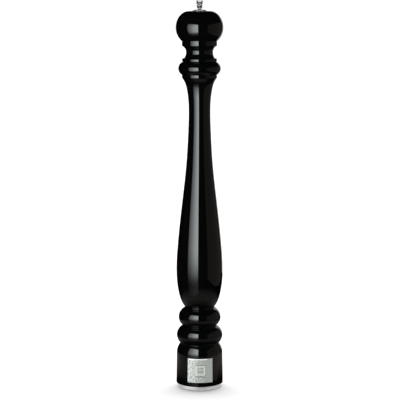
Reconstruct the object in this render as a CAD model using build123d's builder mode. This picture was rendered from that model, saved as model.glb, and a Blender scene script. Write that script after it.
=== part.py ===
from build123d import *
from math import cos, radians, sin
import os

# A tall turned pepper mill, in millimetres. +Z is up along the mill's axis, and the origin is on
# that axis in the resting face. A square steel shaft runs the height of the mill: the wooden head
# turns it, and it turns the toothed cone in the foot. The ring under the foot sets the grind.

os.makedirs("parts", exist_ok=True)

# ---- Driving dimensions --------------------------------------------------------------------

# Heights of the turned profile, from the floor up
UNDERSIDE_Z = 8.5
DRUM_TOP_Z = 71.0
LOW_CREASE_Z = 92.4
LOW_BEAD_Z = 109.3
MID_CREASE_Z = 129.6
HIGH_BEAD_Z = 146.9
TOP_CREASE_Z = 168.4
BELLY_Z = 246.5
NECK_Z = 573.0
COLLAR_LOW_Z = 641.6
COLLAR_TOP_Z = 648.2
BODY_BEAD_Z = 660.9
BODY_TOP_Z = 674.3
RING_TOP_Z = 681.9
COVE_Z = 693.8
HEAD_COLLAR_LOW_Z = 706.4
HEAD_COLLAR_TOP_Z = 716.8
BALL_Z = 743.8
HEAD_TOP_Z = 777.2
MILL_TOP_Z = 800.0

# Radii of the turned profile
FOOT_R = 48.35
DRUM_TOP_R = 47.4
LOW_CREASE_R = 40.0
LOW_BEAD_R = 47.3
MID_CREASE_R = 34.8
HIGH_BEAD_R = 43.4
TOP_CREASE_R = 30.6
BELLY_R = 47.8
NECK_R = 22.2
COLLAR_R = 35.9
BODY_BEAD_R = 43.5
BODY_TOP_R = 35.4
RING_R = 35.6
COVE_R = 27.5
BALL_R = 48.4
HEAD_FLAT_R = 19.0
ARRIS = 1.0                 # small roundings on the turned edges

# Bores in the wood
CHAMBER_R = 15.0            # pepper chamber, along the whole body
CHAMBER_LOW_Z = 72.0
SOCKET_R = 19.1             # takes the head's spigot
SOCKET_Z = 652.0
SPIGOT_R = 18.7
SPIGOT_Z = 656.3
HEAD_BORE_R = 5.5
COVE_TOP_R = 31.8           # where the head's ring meets its cove
COVE_FOOT_R = 32.6          # where the cove meets the collar's rounding

# Shaft, plate and knob
SHAFT = 6.0                 # across flats
SHAFT_LOW_Z = 28.5
STUD_LOW_Z = 770.0
STUD_TOP_Z = 794.0
STUD_R = 2.5
KNOB_LOW_Z = 780.4
KNOB_R = 8.2
KNOB_BALL_Z = 794.8
WASHER_R = 15.0
KNOB_BORE_TOP_Z = 795.0
KNOB_BORE_R = 2.56
KNOB_FOOT_R = 4.2
KNOB_BOWL_R = 7.1
KNOB_BOWL_Z = 788.2
KNOB_GROOVE_R = 5.4
KNOB_GROOVE_LOW_Z = 790.0
KNOB_GROOVE_TOP_Z = 790.9
WASHER_BORE_R = 2.65
WASHER_CROWN_R = 4.4
WASHER_RIM = 1.0            # thickness at the rim
PLATE_R = 15.5
PLATE_THICK = 1.6
PLATE_SCREW_R = 11.0        # circle of the plate's screws
PLATE_SCREW_TURN = 30.0
PLATE_HOLE_R = 1.45
PLATE_PILOT_R = 1.35
PLATE_PILOT_DEEP = 12.0
SQUARE_FIT = 0.16           # the plate's square hole is this much wider than the shaft
CONE_FIT = 0.12             # and the cone's this much
SCREW_SLOT = 0.7

# Grinder housing
FLANGE_LOW_Z = 21.0
FLANGE_TOP_Z = 25.0
FLANGE_R = 39.0
COUNTERBORE_R = 39.2
HOUSING_R = 30.2
HOUSING_BORE_R = 30.5
HOUSING_TOP_Z = 66.0
TUBE_LOW_Z = 1.6
TUBE_R = 31.4
TUBE_INNER_R = 26.0
SEAT_R = 24.0               # holds the toothed ring
SEAT_LOW_Z = 27.0
SEAT_LIP_R = 22.5
FLANGE_SCREW_R = 35.0       # circle of the flange screws
FLANGE_PILOT_R = 1.7
FLANGE_PILOT_DEEP = 16.0
FLANGE_HOLE_R = 1.8
FLANGE_SCREW_SHANK_R = 1.6
NOTCH_HIGH = 19.0           # notches that the lifting strip rises in
NOTCH_DEEP = 14.0
SNAP_LOW_Z = 3.0            # snap ring, and its groove in the housing
SNAP_THICK = 1.2
SNAP_INNER_R = 30.5
SNAP_OUTER_R = 34.2

# Grinding pair
GRIND_LOW_Z = 27.0
GRIND_BAND_Z = 33.0         # fine teeth below this height, coarse ones above
GRIND_TOP_Z = 47.0
CONE_LOW_Z = 24.0
CONE_TOP_Z = 49.0
GRIND_LIFT = 1.5            # travel from the coarsest setting to the finest

# Shaft bearing, above the grinder
CLIP_Z = 62.0
CLIP_THICK = 1.2
WASHER_TOP_Z = 64.3
BUSH_LOW_Z = 64.4
BRIDGE_THICK = 2.0
BRIDGE_SCREW_X = 27.1
BRIDGE_PILOT_R = 1.25
BEARING_R = 4.33            # round bores that the square shaft turns in
BUSH_COLLAR_R = 8.0
BUSH_SPIGOT_R = 6.02
BUSH_SPIGOT_HIGH = 3.5
CLIP_GROOVE_R = 3.1
SPRING_R = 5.6              # the grinder spring's mean radius
SPRING_PITCH = 2.36
SPRING_WIRE_R = 0.55

# Setting ring and its cam
RING_OUTER_R = 43.5
RING_TOP_FACE_Z = 7.9
RING_COLLAR_R = 38.6
RING_COLLAR_TOP_Z = 14.0
RING_BORE_R = 31.7
RING_RECESS_R = 35.0
RING_RECESS_TOP_Z = 4.5
SETTINGS = 6
SETTING_STEP = 30.0         # degrees between settings
CAM_LOW_Z = 16.0            # lowest point of each ramp
CAM_MEAN_R = 34.8
CAM_R = 38.4
STOP_TOP_Z = 20.4
STRIP_GAP = 0.4             # between ramp and strip
STRIP_WIDTH = 10.0
STRIP_THICK = 2.0
STRIP_REACH = 36.5
BUTTON_R = 4.5
BUTTON_RIM_Z = 21.6
BUTTON_RIVET_R = 1.55
DETENT_Z = 10.5
BALL_BEARING_R = 1.75
TRACK_R = 2.0               # the ball's track in the ring, and its dimples
POCKET_X = 27.2
POCKET_R = 1.85
CAM_LUG_TURN = 105.0        # where the cam's two lugs sit in the ring
GLIDE_INNER_R = 39.6
GLIDE_OUTER_R = 43.0

# Label
LABEL_LOW_Z = 17.5
LABEL_TOP_Z = 67.5
LABEL_HALF_ANGLE = 32.0
LABEL_TURN = 1.4            # off the front, to the right
LABEL_THICK = 0.25

TURN = (SETTINGS - 1) * SETTING_STEP        # whole travel of the setting ring, in degrees
STRIP_Z = CAM_LOW_Z + STRIP_GAP             # underside of the lifting strip


# ---- Shared shapes -------------------------------------------------------------------------

def bead(widest, lower_end, upper_end):
    """Two arcs from a bead's widest point, down and up to the creases beside it."""
    TangentArc(widest, lower_end, tangent=(0, -1))
    TangentArc(widest, upper_end, tangent=(0, 1))


def tube(outer, inner, low, high, mode=Mode.ADD):
    """A plain ring between two heights."""
    with BuildSketch(Plane.XY.offset(low), mode=Mode.PRIVATE) as ring:
        Circle(outer)
        if inner:
            Circle(inner, mode=Mode.SUBTRACT)
    extrude(ring.sketch, amount=high - low, mode=mode)


def star(tip, root, teeth, turn=0.0):
    """A toothed outline, with straight flanks from tip to root."""
    pitch = 360 / teeth
    corners = []
    for tooth in range(teeth):
        angle = turn + tooth * pitch
        corners.append((tip * cos(radians(angle)), tip * sin(radians(angle))))
        angle += pitch / 2
        corners.append((root * cos(radians(angle)), root * sin(radians(angle))))
    Polygon(*corners, align=None)


def toothed_band(low, high, low_tip, high_tip, depth, teeth, twist, mode=Mode.ADD):
    """A band of slanting teeth between two heights: a positive depth cuts towards the axis."""
    with BuildSketch(Plane.XY.offset(low), mode=Mode.PRIVATE) as below:
        star(low_tip, low_tip - depth, teeth)
    with BuildSketch(Plane.XY.offset(high), mode=Mode.PRIVATE) as above:
        star(high_tip, high_tip - depth, teeth, twist)
    loft([below.sketch, above.sketch], ruled=True, mode=mode)


def pan_screw(head_r, head_high, shank_r, length, slot):
    """A screw in its own frame: the head's seat at zero, the head below it, the shank above."""
    with BuildPart(mode=Mode.PRIVATE) as screw:
        tube(head_r, 0, -head_high, 0)
        fillet(screw.edges().sort_by(Axis.Z)[0], head_high * 0.45)
        tube(shank_r, 0, 0, length - shank_r)
        with BuildSketch(Plane.XY.offset(length - shank_r)):
            Circle(shank_r)
        extrude(amount=shank_r, taper=35)
        with Locations((0, 0, -head_high)):
            Box(2 * head_r, slot, head_high, mode=Mode.SUBTRACT)
            Box(slot, 2 * head_r, head_high, mode=Mode.SUBTRACT)
    return screw.part


# ---- Turned wood ---------------------------------------------------------------------------

with BuildPart() as mill_body:
    with BuildSketch(Plane.XZ):
        with BuildLine():
            Polyline((0, BODY_TOP_Z), (0, UNDERSIDE_Z), (FOOT_R - ARRIS, UNDERSIDE_Z))
            TangentArc((FOOT_R - ARRIS, UNDERSIDE_Z), (FOOT_R, UNDERSIDE_Z + ARRIS), tangent=(1, 0))
            Line((FOOT_R, UNDERSIDE_Z + ARRIS), (DRUM_TOP_R, DRUM_TOP_Z))
            TangentArc((DRUM_TOP_R, DRUM_TOP_Z), (LOW_CREASE_R, LOW_CREASE_Z - 0.4), tangent=(0, 1))
            Line((LOW_CREASE_R, LOW_CREASE_Z - 0.4), (LOW_CREASE_R, LOW_CREASE_Z + 0.4))
            bead(
                (LOW_BEAD_R, LOW_BEAD_Z),
                (LOW_CREASE_R, LOW_CREASE_Z + 0.4),
                (MID_CREASE_R, MID_CREASE_Z - 0.8),
            )
            Line((MID_CREASE_R, MID_CREASE_Z - 0.8), (MID_CREASE_R, MID_CREASE_Z + 0.4))
            bead(
                (HIGH_BEAD_R, HIGH_BEAD_Z),
                (MID_CREASE_R, MID_CREASE_Z + 0.4),
                (TOP_CREASE_R, TOP_CREASE_Z - 1.6),
            )
            Line((TOP_CREASE_R, TOP_CREASE_Z - 1.6), (TOP_CREASE_R, TOP_CREASE_Z + 0.8))
            # the belly, rounding in to the crease below it
            Spline(
                (TOP_CREASE_R, TOP_CREASE_Z + 0.8),
                (36.3, 178.2),
                (43.2, 199.3),
                (46.6, 221.5),
                (BELLY_R, BELLY_Z),
                tangents=((0.83, 1), (0, 1)),
                tangent_scalars=(0.6, 1),
            )
            # the long sweep up to the narrowest point
            Spline(
                (BELLY_R, BELLY_Z),
                (44.8, 302),
                (35.7, 387.5),
                (26.9, 470),
                (23.4, 530),
                (NECK_R, NECK_Z),
                tangents=((0, 1), (0, 1)),
            )
            # the flare under the collar
            Spline(
                (NECK_R, NECK_Z),
                (23.5, 601.5),
                (26.5, 621),
                (30.9, 634.3),
                (COLLAR_R - 0.5, COLLAR_LOW_Z),
                tangents=((0, 1), (0.66, 1)),
            )
            Line((COLLAR_R - 0.5, COLLAR_LOW_Z), (COLLAR_R, COLLAR_LOW_Z + 0.8))
            Line((COLLAR_R, COLLAR_LOW_Z + 0.8), (COLLAR_R, COLLAR_TOP_Z))
            bead(
                (BODY_BEAD_R, BODY_BEAD_Z),
                (COLLAR_R, COLLAR_TOP_Z),
                (BODY_TOP_R, BODY_TOP_Z),
            )
            Line((BODY_TOP_R, BODY_TOP_Z), (0, BODY_TOP_Z))
        make_face()
    revolve(axis=Axis.Z)
    tube(CHAMBER_R, 0, CHAMBER_LOW_Z, BODY_TOP_Z, mode=Mode.SUBTRACT)
    tube(SOCKET_R, 0, SOCKET_Z, BODY_TOP_Z, mode=Mode.SUBTRACT)
    tube(HOUSING_BORE_R, 0, UNDERSIDE_Z, CHAMBER_LOW_Z, mode=Mode.SUBTRACT)
    tube(COUNTERBORE_R, 0, UNDERSIDE_Z, FLANGE_TOP_Z, mode=Mode.SUBTRACT)
    with Locations(Plane.XY.offset(FLANGE_TOP_Z)):
        with PolarLocations(FLANGE_SCREW_R, 3):
            Cylinder(
                FLANGE_PILOT_R, FLANGE_PILOT_DEEP,
                align=(Align.CENTER, Align.CENTER, Align.MIN), mode=Mode.SUBTRACT,
            )

with BuildPart() as head:
    with BuildSketch(Plane.XZ):
        with BuildLine():
            Polyline(
                (0, HEAD_TOP_Z), (0, SPIGOT_Z), (SPIGOT_R - 1, SPIGOT_Z), (SPIGOT_R, SPIGOT_Z + 1),
                (SPIGOT_R, BODY_TOP_Z), (RING_R - ARRIS, BODY_TOP_Z),
            )
            TangentArc((RING_R - ARRIS, BODY_TOP_Z), (RING_R, BODY_TOP_Z + ARRIS), tangent=(1, 0))
            Line((RING_R, BODY_TOP_Z + ARRIS), (RING_R, RING_TOP_Z - ARRIS))
            TangentArc((RING_R, RING_TOP_Z - ARRIS), (RING_R - ARRIS, RING_TOP_Z), tangent=(0, 1))
            Line((RING_R - ARRIS, RING_TOP_Z), (COVE_TOP_R, RING_TOP_Z))
            bead(
                (COVE_R, COVE_Z),
                (COVE_TOP_R, RING_TOP_Z),
                (COVE_FOOT_R, HEAD_COLLAR_LOW_Z - 1.6),
            )
            Line((COVE_FOOT_R, HEAD_COLLAR_LOW_Z - 1.6), (RING_R - 0.6, HEAD_COLLAR_LOW_Z))
            TangentArc(
                (RING_R - 0.6, HEAD_COLLAR_LOW_Z), (COLLAR_R, HEAD_COLLAR_LOW_Z + 1), tangent=(1, 0.5)
            )
            Polyline(
                (COLLAR_R, HEAD_COLLAR_LOW_Z + 1), (COLLAR_R, HEAD_COLLAR_TOP_Z),
                (COLLAR_R + 1, HEAD_COLLAR_TOP_Z),
            )
            TangentArc((BALL_R, BALL_Z), (COLLAR_R + 1, HEAD_COLLAR_TOP_Z), tangent=(0, -1))
            EllipticalCenterArc(
                (HEAD_FLAT_R, BALL_Z), BALL_R - HEAD_FLAT_R, HEAD_TOP_Z - BALL_Z,
                start_angle=0, arc_size=90,
            )
            Line((HEAD_FLAT_R, HEAD_TOP_Z), (0, HEAD_TOP_Z))
        make_face()
    revolve(axis=Axis.Z)
    tube(HEAD_BORE_R, 0, SPIGOT_Z, HEAD_TOP_Z, mode=Mode.SUBTRACT)
    with Locations(Plane.XY.offset(SPIGOT_Z)):
        with PolarLocations(PLATE_SCREW_R, 3, start_angle=PLATE_SCREW_TURN):
            Cylinder(
                PLATE_PILOT_R, PLATE_PILOT_DEEP,
                align=(Align.CENTER, Align.CENTER, Align.MIN), mode=Mode.SUBTRACT,
            )

# ---- Head fittings -------------------------------------------------------------------------

with BuildPart() as drive_plate:
    with BuildSketch(Plane.XY.offset(SPIGOT_Z - PLATE_THICK)):
        Circle(PLATE_R)
        Rectangle(SHAFT + SQUARE_FIT, SHAFT + SQUARE_FIT, mode=Mode.SUBTRACT)
        with PolarLocations(PLATE_SCREW_R, 3, start_angle=PLATE_SCREW_TURN):
            Circle(PLATE_HOLE_R, mode=Mode.SUBTRACT)
    extrude(amount=PLATE_THICK)
    fillet(drive_plate.edges().filter_by(GeomType.CIRCLE).group_by(SortBy.RADIUS)[-1], 0.3)

with BuildPart() as drive_plate_screws:
    with Locations(Plane.XY.offset(SPIGOT_Z - PLATE_THICK)):
        with PolarLocations(PLATE_SCREW_R, 3, start_angle=PLATE_SCREW_TURN):
            add(pan_screw(head_r=2.7, head_high=1.5, shank_r=1.3, length=13, slot=SCREW_SLOT))

with BuildPart() as drive_shaft:
    with BuildSketch(Plane.XY.offset(SHAFT_LOW_Z)):
        Rectangle(SHAFT, SHAFT)
    extrude(amount=STUD_LOW_Z - SHAFT_LOW_Z)
    chamfer(drive_shaft.faces().sort_by(Axis.Z)[0].edges(), 0.5)
    tube(STUD_R, 0, STUD_LOW_Z, STUD_TOP_Z)
    chamfer(drive_shaft.edges().filter_by(GeomType.CIRCLE).sort_by(Axis.Z)[-1], 0.5)
    tube(SHAFT, CLIP_GROOVE_R, CLIP_Z - 0.02, CLIP_Z + CLIP_THICK + 0.02, mode=Mode.SUBTRACT)

with BuildPart() as knob_washer:
    with BuildSketch(Plane.XZ):
        with BuildLine():
            rim_z = HEAD_TOP_Z + 0.05
            crown_z = KNOB_LOW_Z - 0.05
            rim = (WASHER_R - WASHER_RIM / 2, rim_z)
            rim_top = (WASHER_R - WASHER_RIM / 2, rim_z + WASHER_RIM)
            crown = (WASHER_CROWN_R, crown_z)
            Polyline((WASHER_BORE_R, crown_z), (WASHER_BORE_R, rim_z), rim)
            ThreePointArc(rim, (WASHER_R, rim_z + WASHER_RIM / 2), rim_top)
            ThreePointArc(rim_top, (10, HEAD_TOP_Z + 2.2), crown)
            Line(crown, (WASHER_BORE_R, crown_z))
        make_face()
    revolve(axis=Axis.Z)

with BuildPart() as knob:
    with BuildSketch(Plane.XZ):
        with BuildLine():
            Polyline(
                (0, MILL_TOP_Z), (0, KNOB_BORE_TOP_Z), (KNOB_BORE_R, KNOB_BORE_TOP_Z),
                (KNOB_BORE_R, KNOB_LOW_Z), (KNOB_FOOT_R, KNOB_LOW_Z), (KNOB_FOOT_R, KNOB_LOW_Z + 1.4),
            )
            # the bowl, then the groove, then the ball
            bowl = (KNOB_BOWL_R, KNOB_BOWL_Z)
            groove_low = (KNOB_GROOVE_R, KNOB_GROOVE_LOW_Z)
            groove_top = (KNOB_GROOVE_R, KNOB_GROOVE_TOP_Z)
            Spline(
                (KNOB_FOOT_R, KNOB_LOW_Z + 1.4), (6.2, 784.6), bowl, tangents=((1, 0.35), (0, 1))
            )
            TangentArc(bowl, groove_low, tangent=(0, 1))
            Line(groove_low, groove_top)
            TangentArc((KNOB_R, KNOB_BALL_Z), groove_top, tangent=(0, -1))
            Spline(
                (KNOB_R, KNOB_BALL_Z), (5.8, 798.4), (0, MILL_TOP_Z), tangents=((0, 1), (-1, 0))
            )
        make_face()
    revolve(axis=Axis.Z)

# ---- Housing in the foot -------------------------------------------------------------------

with BuildPart() as grinder_housing:
    with BuildSketch(Plane.XZ):
        with BuildLine():
            Polyline(
                (TUBE_INNER_R, TUBE_LOW_Z), (TUBE_R, TUBE_LOW_Z), (TUBE_R, FLANGE_LOW_Z),
                (FLANGE_R, FLANGE_LOW_Z), (FLANGE_R, FLANGE_TOP_Z), (HOUSING_R, FLANGE_TOP_Z),
                (HOUSING_R, HOUSING_TOP_Z), (SEAT_R, HOUSING_TOP_Z), (SEAT_R, SEAT_LOW_Z),
                (SEAT_LIP_R, SEAT_LOW_Z), (SEAT_LIP_R, FLANGE_TOP_Z), (TUBE_INNER_R, FLANGE_TOP_Z),
                close=True,
            )
        make_face()
    revolve(axis=Axis.Z)
    # notches for the lifting strip, open downwards
    with Locations((0, TUBE_R, TUBE_LOW_Z), (0, -TUBE_R, TUBE_LOW_Z)):
        Box(
            STRIP_WIDTH + 0.4, NOTCH_DEEP, NOTCH_HIGH,
            align=(Align.CENTER, Align.CENTER, Align.MIN), mode=Mode.SUBTRACT,
        )
    # groove for the snap ring, pocket for the click ball
    tube(TUBE_R + 1, SNAP_INNER_R - 0.3, SNAP_LOW_Z - 0.1, SNAP_LOW_Z + SNAP_THICK + 0.1, mode=Mode.SUBTRACT)
    with Locations(Location((POCKET_X, 0, DETENT_Z), (0, 90, 0))):
        Cylinder(POCKET_R, 8, align=(Align.CENTER, Align.CENTER, Align.MIN), mode=Mode.SUBTRACT)
    with Locations(Plane.XY.offset(FLANGE_LOW_Z)):
        with PolarLocations(FLANGE_SCREW_R, 3):
            Cone(3.4, FLANGE_HOLE_R, 2.2, align=(Align.CENTER, Align.CENTER, Align.MIN), mode=Mode.SUBTRACT)
            Cylinder(FLANGE_HOLE_R, 5, align=(Align.CENTER, Align.CENTER, Align.MIN), mode=Mode.SUBTRACT)
    with Locations((BRIDGE_SCREW_X, 0, HOUSING_TOP_Z), (-BRIDGE_SCREW_X, 0, HOUSING_TOP_Z)):
        Cylinder(BRIDGE_PILOT_R, 11, align=(Align.CENTER, Align.CENTER, Align.MAX), mode=Mode.SUBTRACT)

with BuildPart() as housing_screws:
    with Locations(Plane.XY.offset(FLANGE_LOW_Z)):
        with PolarLocations(FLANGE_SCREW_R, 3):
            Cone(3.3, FLANGE_SCREW_SHANK_R, 2.1, align=(Align.CENTER, Align.CENTER, Align.MIN))
            Cylinder(FLANGE_SCREW_SHANK_R, 16, align=(Align.CENTER, Align.CENTER, Align.MIN))
            Box(4, SCREW_SLOT, 1, align=(Align.CENTER, Align.CENTER, Align.MIN), mode=Mode.SUBTRACT)
            Box(SCREW_SLOT, 4, 1, align=(Align.CENTER, Align.CENTER, Align.MIN), mode=Mode.SUBTRACT)
    with Locations(Plane.XY.offset(FLANGE_LOW_Z + 16)):
        with PolarLocations(FLANGE_SCREW_R, 3):
            Cone(FLANGE_SCREW_SHANK_R, 0.5, 2.5, align=(Align.CENTER, Align.CENTER, Align.MIN))

with BuildPart() as female_grinder:
    tube(SEAT_R - 0.03, 0, GRIND_LOW_Z + 0.02, GRIND_TOP_Z)
    toothed_band(
        GRIND_LOW_Z - 0.5, GRIND_BAND_Z, 18.75, 15.5, -0.8, 40, -5, mode=Mode.SUBTRACT
    )
    toothed_band(
        GRIND_BAND_Z, GRIND_TOP_Z + 0.5, 15.5, 14.5, -1.6, 20, 8, mode=Mode.SUBTRACT
    )

with BuildPart() as male_grinder:
    toothed_band(CONE_LOW_Z + 3, GRIND_BAND_Z, 17.6, 14.6, 0.8, 40, 5)
    toothed_band(GRIND_BAND_Z, CONE_TOP_Z, 14.4, 8.6, 3.0, 8, 35)
    with BuildSketch(Plane.XY.offset(CONE_LOW_Z)):
        Circle(16.2)
    extrude(amount=3)
    chamfer(male_grinder.faces().sort_by(Axis.Z)[0].edges(), 0.8)
    with BuildSketch(Plane.XY.offset(CONE_LOW_Z + 2)):
        Rectangle(SHAFT + CONE_FIT, SHAFT + CONE_FIT)
    extrude(amount=CONE_TOP_Z - CONE_LOW_Z, mode=Mode.SUBTRACT)

# ---- Shaft bearing -------------------------------------------------------------------------

with BuildPart() as shaft_bridge:
    with BuildSketch(Plane.XY.offset(HOUSING_TOP_Z)):
        SlotOverall(59.6, 12)
        Circle(10)
        Circle(BUSH_SPIGOT_R + 0.03, mode=Mode.SUBTRACT)
        with Locations((BRIDGE_SCREW_X, 0), (-BRIDGE_SCREW_X, 0)):
            Circle(1.4, mode=Mode.SUBTRACT)
    extrude(amount=BRIDGE_THICK)

with BuildPart() as bridge_bush:
    tube(BUSH_COLLAR_R, 0, BUSH_LOW_Z, HOUSING_TOP_Z)
    tube(BUSH_SPIGOT_R, 0, HOUSING_TOP_Z, HOUSING_TOP_Z + BUSH_SPIGOT_HIGH)
    chamfer(bridge_bush.faces().sort_by(Axis.Z)[-1].edges(), 0.4)
    tube(BEARING_R, 0, BUSH_LOW_Z, HOUSING_TOP_Z + BUSH_SPIGOT_HIGH, mode=Mode.SUBTRACT)

with BuildPart() as bridge_screws:
    for side in (1, -1):
        with Locations(Location((side * BRIDGE_SCREW_X, 0, HOUSING_TOP_Z + BRIDGE_THICK), (180, 0, 0))):
            add(pan_screw(head_r=2.6, head_high=1.8, shank_r=1.2, length=11, slot=SCREW_SLOT))

with BuildPart() as thrust_washer:
    tube(7.5, BEARING_R, CLIP_Z + CLIP_THICK + 0.1, WASHER_TOP_Z)

with BuildPart() as shaft_clip:
    tube(6.5, CLIP_GROOVE_R + 0.05, CLIP_Z, CLIP_Z + CLIP_THICK)
    with Locations((5, 0, CLIP_Z)):
        Box(7, 4.2, 2 * CLIP_THICK, mode=Mode.SUBTRACT)

with BuildPart() as grinder_spring:
    with BuildLine() as coil:
        Helix(
            pitch=SPRING_PITCH, height=CLIP_Z - CONE_TOP_Z - 2 * SPRING_WIRE_R - 0.1,
            radius=SPRING_R, center=(0, 0, CONE_TOP_Z + SPRING_WIRE_R + 0.05),
        )
    with BuildSketch(Plane(origin=coil.line @ 0, z_dir=coil.line % 0)):
        Circle(SPRING_WIRE_R)
    sweep(is_frenet=True)

# ---- Setting mechanism ---------------------------------------------------------------------

with BuildPart() as lift_bridge:
    with BuildSketch(Plane.XY.offset(STRIP_Z)):
        Rectangle(STRIP_WIDTH, 2 * STRIP_REACH)
        fillet(vertices(), 1.5)
        Circle(7)
        Circle(BUTTON_RIVET_R + 0.05, mode=Mode.SUBTRACT)
    extrude(amount=STRIP_THICK)

with BuildPart() as thrust_button:
    with BuildSketch(Plane.XZ):
        with BuildLine():
            Polyline(
                (0, CONE_LOW_Z - 0.05), (0, STRIP_Z), (BUTTON_RIVET_R, STRIP_Z),
                (BUTTON_RIVET_R, STRIP_Z + STRIP_THICK), (BUTTON_R, STRIP_Z + STRIP_THICK),
                (BUTTON_R, BUTTON_RIM_Z),
            )
            TangentArc((0, CONE_LOW_Z - 0.05), (BUTTON_R, BUTTON_RIM_Z), tangent=(1, 0))
        make_face()
    revolve(axis=Axis.Z)

with BuildPart() as adjust_ring:
    with BuildSketch(Plane.XZ):
        with BuildLine():
            Polyline(
                (RING_RECESS_R, 0), (RING_OUTER_R, 0), (RING_OUTER_R, RING_TOP_FACE_Z),
                (RING_COLLAR_R, RING_TOP_FACE_Z), (RING_COLLAR_R, RING_COLLAR_TOP_Z),
                (RING_BORE_R, RING_COLLAR_TOP_Z), (RING_BORE_R, RING_RECESS_TOP_Z),
                (RING_RECESS_R, RING_RECESS_TOP_Z), close=True,
            )
        make_face()
    revolve(axis=Axis.Z)
    rims = adjust_ring.edges().filter_by(GeomType.CIRCLE).group_by(SortBy.RADIUS)[-1]
    fillet(rims, 0.9)
    # track of the click ball, with one deeper dimple for each setting
    with BuildSketch(Plane.XZ):
        with Locations((RING_BORE_R - 0.5, DETENT_Z)):
            Circle(TRACK_R)
    revolve(axis=Axis.Z, mode=Mode.SUBTRACT)
    for setting in range(SETTINGS):
        angle = radians(-setting * SETTING_STEP)
        with Locations((31.6 * cos(angle), 31.6 * sin(angle), DETENT_Z)):
            Sphere(TRACK_R, mode=Mode.SUBTRACT)
    # notches for the cam's lugs
    with Locations(Plane.XY.offset(RING_COLLAR_TOP_Z)):
        with PolarLocations(CAM_MEAN_R, 2, start_angle=CAM_LUG_TURN):
            Box(8, 6.1, 4, mode=Mode.SUBTRACT)

with BuildPart() as cam_ring:
    tube(CAM_R, RING_BORE_R + 0.1, RING_COLLAR_TOP_Z, STOP_TOP_Z)
    # each ramp is a tilted plane that climbs 1.5 mm over the ring's travel
    rise = GRIND_LIFT / 2 / sin(radians(TURN / 2))
    slope = rise / CAM_MEAN_R
    for side in range(2):
        middle = 15 + 180 * side
        ramp_plane = Plane.XY.rotated((0, 0, middle)).offset(CAM_LOW_Z + GRIND_LIFT / 2)
        ramp_plane = Plane(
            origin=ramp_plane.origin,
            x_dir=ramp_plane.x_dir,
            z_dir=ramp_plane.z_dir + ramp_plane.y_dir * slope,
        )
        with BuildSketch(ramp_plane) as ramp:
            with BuildLine():
                outer = CenterArc((0, 0), 50, -85, 170)
                Line((0, 0), outer @ 0)
                Line((0, 0), outer @ 1)
            make_face()
        extrude(amount=12, mode=Mode.SUBTRACT)
    with Locations(Plane.XY.offset(RING_COLLAR_TOP_Z - 1.9)):
        with PolarLocations(CAM_MEAN_R, 2, start_angle=CAM_LUG_TURN):
            Box(5.6, 5.9, 2.4, align=(Align.CENTER, Align.CENTER, Align.MIN))

with BuildPart() as retaining_ring:
    tube(SNAP_OUTER_R, SNAP_INNER_R, SNAP_LOW_Z, SNAP_LOW_Z + SNAP_THICK)
    # the gap that lets it spring open
    with Locations((0, -(SNAP_INNER_R + SNAP_OUTER_R) / 2, SNAP_LOW_Z + SNAP_THICK / 2)):
        Box(9, 8, 3, mode=Mode.SUBTRACT)

with BuildPart() as glide_washer:
    tube(GLIDE_OUTER_R, GLIDE_INNER_R, RING_TOP_FACE_Z + 0.1, UNDERSIDE_Z)

with BuildPart() as detent_ball:
    with Locations((RING_BORE_R - 0.6, 0, DETENT_Z)):
        Sphere(BALL_BEARING_R)

with BuildPart() as detent_spring:
    with BuildLine() as click_coil:
        Helix(pitch=0.62, height=1.5, radius=1.1, center=(27.5, 0, DETENT_Z), direction=(1, 0, 0))
    with BuildSketch(Plane(origin=click_coil.line @ 0, z_dir=click_coil.line % 0)):
        Circle(0.2)
    sweep(is_frenet=True)

# ---- Label ---------------------------------------------------------------------------------

with BuildPart() as label:
    drum_slope = (FOOT_R - DRUM_TOP_R) / (DRUM_TOP_Z - UNDERSIDE_Z - ARRIS)
    low_r = FOOT_R - drum_slope * (LABEL_LOW_Z - UNDERSIDE_Z - ARRIS) + 0.01
    top_r = FOOT_R - drum_slope * (LABEL_TOP_Z - UNDERSIDE_Z - ARRIS) + 0.01
    with BuildSketch(Plane.XZ):
        Polygon(
            (low_r, LABEL_LOW_Z), (low_r + LABEL_THICK, LABEL_LOW_Z),
            (top_r + LABEL_THICK, LABEL_TOP_Z), (top_r, LABEL_TOP_Z), align=None,
        )
    revolve(axis=Axis.Z, revolution_arc=2 * LABEL_HALF_ANGLE)
label.part = label.part.rotate(Axis.Z, -90 + LABEL_TURN - LABEL_HALF_ANGLE)

# ---- Files ---------------------------------------------------------------------------------

pieces = {
    "mill_body": mill_body,
    "head": head,
    "drive_plate": drive_plate,
    "drive_plate_screws": drive_plate_screws,
    "drive_shaft": drive_shaft,
    "knob_washer": knob_washer,
    "knob": knob,
    "grinder_housing": grinder_housing,
    "housing_screws": housing_screws,
    "female_grinder": female_grinder,
    "male_grinder": male_grinder,
    "shaft_bridge": shaft_bridge,
    "bridge_bush": bridge_bush,
    "bridge_screws": bridge_screws,
    "thrust_washer": thrust_washer,
    "shaft_clip": shaft_clip,
    "grinder_spring": grinder_spring,
    "lift_bridge": lift_bridge,
    "thrust_button": thrust_button,
    "adjust_ring": adjust_ring,
    "cam_ring": cam_ring,
    "retaining_ring": retaining_ring,
    "glide_washer": glide_washer,
    "detent_ball": detent_ball,
    "detent_spring": detent_spring,
    "label": label,
}
for name, piece in pieces.items():
    piece.part.label = name
    export_step(piece.part, f"parts/{name}.step")
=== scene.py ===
from math import atan2, cos, pi, radians, sin

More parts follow.
